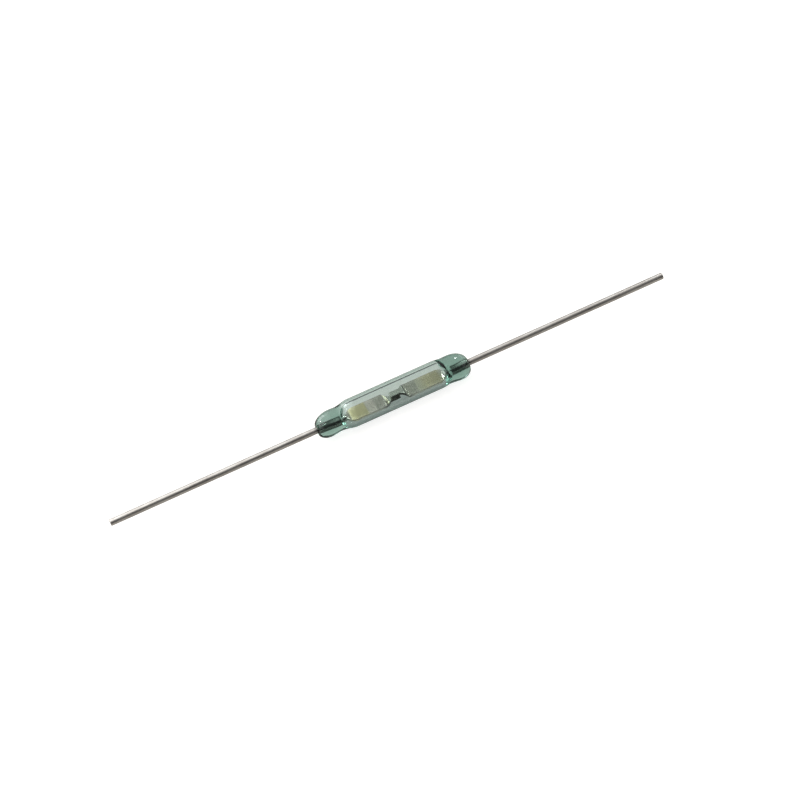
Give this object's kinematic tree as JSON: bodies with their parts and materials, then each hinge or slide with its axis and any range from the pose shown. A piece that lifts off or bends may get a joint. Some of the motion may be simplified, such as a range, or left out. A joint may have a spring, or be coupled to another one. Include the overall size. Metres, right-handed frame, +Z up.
{
  "type": "glass reed switch",
  "caption": "Magnetic switch: two flat nickel-iron reeds sealed in a green glass tube, with overlapping contact tongues inside and a straight tinned wire lead at each end.",
  "frame": {"origin": "middle of the glass, on the axis of the wires", "axes": "+X along the wires towards the lead whose tongue lies on top, +Z up, square to the flat blades"},
  "size_m": [0.0372, 0.0018, 0.0018],
  "materials": {
    "glass": "smooth fire-polished green glass",
    "tinned_lead": "satin tin over drawn nickel-iron wire",
    "stamped_blade": "bright stamped nickel-iron with darker contact plating"
  },
  "bodies": {
    "envelope": {"glass_envelope": "glass", "left_lead": "tinned_lead", "right_lead": "tinned_lead"},
    "left_blade": {"left_blade": "stamped_blade"},
    "right_blade": {"right_blade": "stamped_blade"}
  },
  "joints": [
    {"name": "left_flex", "type": "hinge", "parent": "envelope", "child": "left_blade", "pos_m": [-0.00242, 0, 0], "axis": [0, -1, 0], "range_deg": [0, 0.98], "stiffness_Nm_per_rad": 0.0001},
    {"name": "right_flex", "type": "hinge", "parent": "envelope", "child": "right_blade", "pos_m": [0.00262, 0, 0], "axis": [0, -1, 0], "range_deg": [0, 0.98], "stiffness_Nm_per_rad": 0.0001}
  ],
  "couplings": [
    {"joint": "right_flex", "follows": "left_flex", "ratio": 1}
  ]
}
